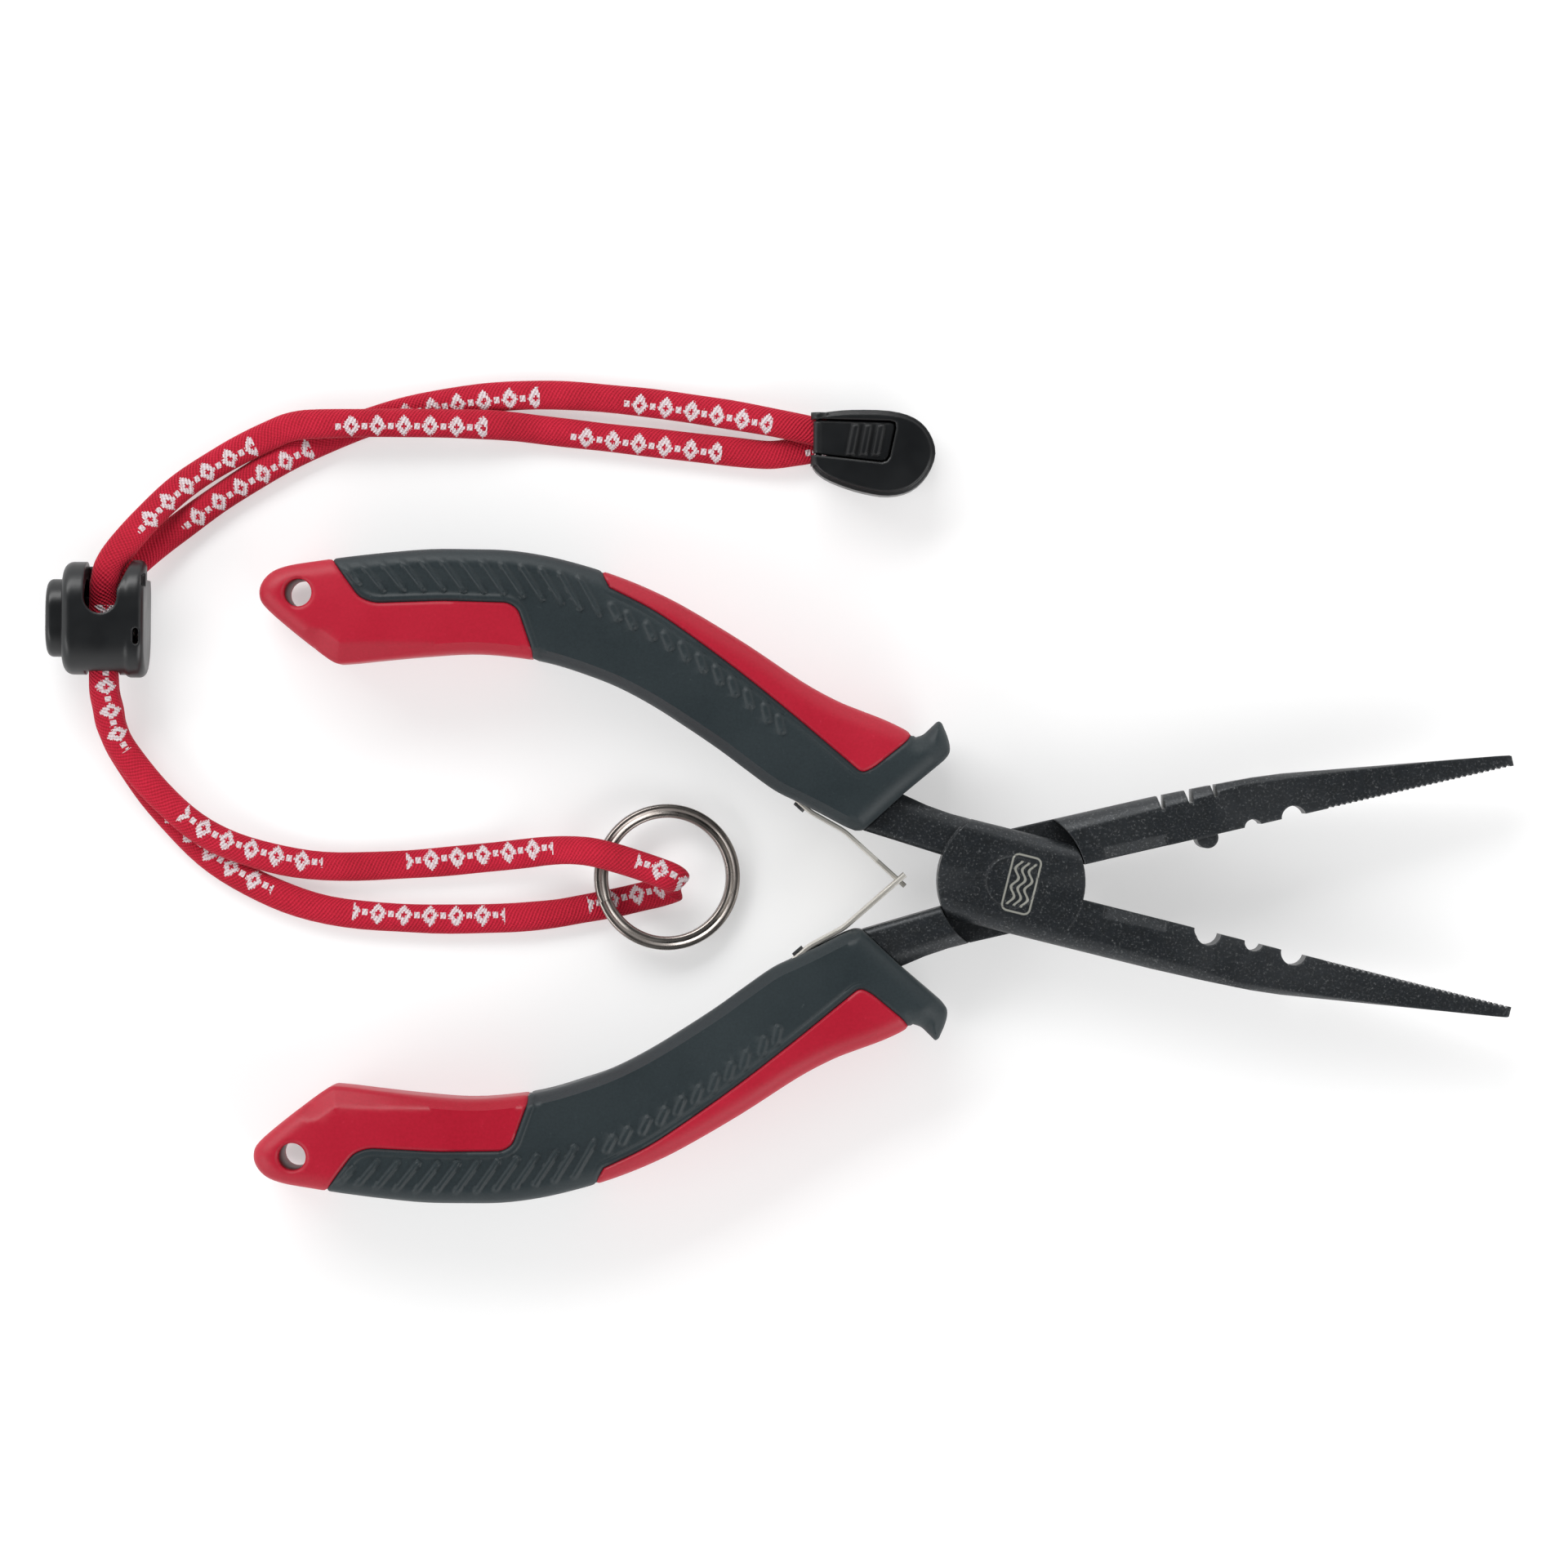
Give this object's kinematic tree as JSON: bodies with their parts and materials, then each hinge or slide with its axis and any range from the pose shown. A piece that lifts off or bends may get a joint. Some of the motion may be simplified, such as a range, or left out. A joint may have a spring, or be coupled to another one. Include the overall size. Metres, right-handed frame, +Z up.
{
  "type": "long-nose fishing pliers",
  "caption": "Long-nose fishing pliers with side cutters, notched jaws, curved grips and leaf springs, and a flat cord lanyard with a split ring, a cord lock and a clip.",
  "frame": {"origin": "centre of the pliers' footprint, lanyard not counted, on the surface they lie on; the pivot is 20 mm from it towards +X", "axes": "+X along the pliers towards the jaws' tips, +Y across them towards the handle whose jaw is at -Y, +Z up, parallel to the pivot"},
  "size_m": [0.2335, 0.1312, 0.016],
  "materials": {
    "black_steel": "black phosphate, satin with a fine speckle",
    "grip_red": "matt red",
    "grip_grey": "matt dark grey",
    "spring_steel": "bright",
    "dark_nickel": "dark nickel plate",
    "cord": "woven red tape with a pale pattern",
    "black_plastic": "satin black"
  },
  "bodies": {
    "pivot": {"pivot_rivet": "black_steel"},
    "front_half": {"front_half": "black_steel", "upper_grip_core": "grip_red", "upper_grip_cover": "grip_grey", "upper_spring_foot": "spring_steel", "upper_spring_rivet": "spring_steel"},
    "back_half": {"back_half": "black_steel", "lower_grip_core": "grip_red", "lower_grip_cover": "grip_grey", "lower_spring_foot": "spring_steel", "lower_spring_rivet": "spring_steel"},
    "upper_leaf": {"upper_spring_blade": "spring_steel"},
    "lower_leaf": {"lower_spring_blade": "spring_steel"},
    "lanyard": {"lanyard_cord": "cord", "end_knot": "cord", "lock_body": "black_plastic", "lock_spring": "spring_steel", "clip_body": "black_plastic"},
    "ring": {"split_ring": "dark_nickel"},
    "lock_button": {"lock_plunger": "black_plastic"},
    "lid": {"clip_lid": "black_plastic"}
  },
  "joints": [
    {"name": "handle_close", "type": "hinge", "parent": "pivot", "child": "front_half", "pos_m": [0.02, 0, 0.008], "axis": [0, 0, 1], "range_deg": [0, 13.5], "stiffness_Nm_per_rad": 2, "springref_deg": -8.59},
    {"name": "back_close", "type": "hinge", "parent": "pivot", "child": "back_half", "pos_m": [0.02, 0, 0.008], "axis": [0, 0, -1], "range_deg": [0, 13.5]},
    {"name": "upper_leaf_bend", "type": "hinge", "parent": "front_half", "child": "upper_leaf", "pos_m": [-0.00653, 0.00771, 0.008], "axis": [0, 0, 1], "range_deg": [0, 22.6]},
    {"name": "lower_leaf_bend", "type": "hinge", "parent": "back_half", "child": "lower_leaf", "pos_m": [-0.00653, -0.00771, 0.008], "axis": [0, 0, -1], "range_deg": [0, 22.6]},
    {"name": "lanyard_lift", "type": "slide", "parent": "pivot", "child": "lanyard", "axis": [0, 0, 1], "range_m": [0, 0.02]},
    {"name": "ring_spin", "type": "hinge", "parent": "lanyard", "child": "ring", "pos_m": [-0.03478, 0, 0.00252], "axis": [0.1219, 0, 0.9925], "continuous": true},
    {"name": "button_press", "type": "slide", "parent": "lanyard", "child": "lock_button", "axis": [1, 0, 0], "range_m": [0, 0.0014], "stiffness_N_per_m": 400, "springref_m": -0.004, "deforming": ["lock_spring"]},
    {"name": "lid_open", "type": "hinge", "parent": "lanyard", "child": "lid", "pos_m": [-0.0112, 0.0703, 0.00745], "axis": [0, -1, 0], "range_deg": [0, 100]}
  ],
  "couplings": [
    {"joint": "back_close", "follows": "handle_close", "ratio": 1},
    {"joint": "upper_leaf_bend", "follows": "handle_close", "ratio": 1.674},
    {"joint": "lower_leaf_bend", "follows": "handle_close", "ratio": 1.674}
  ]
}
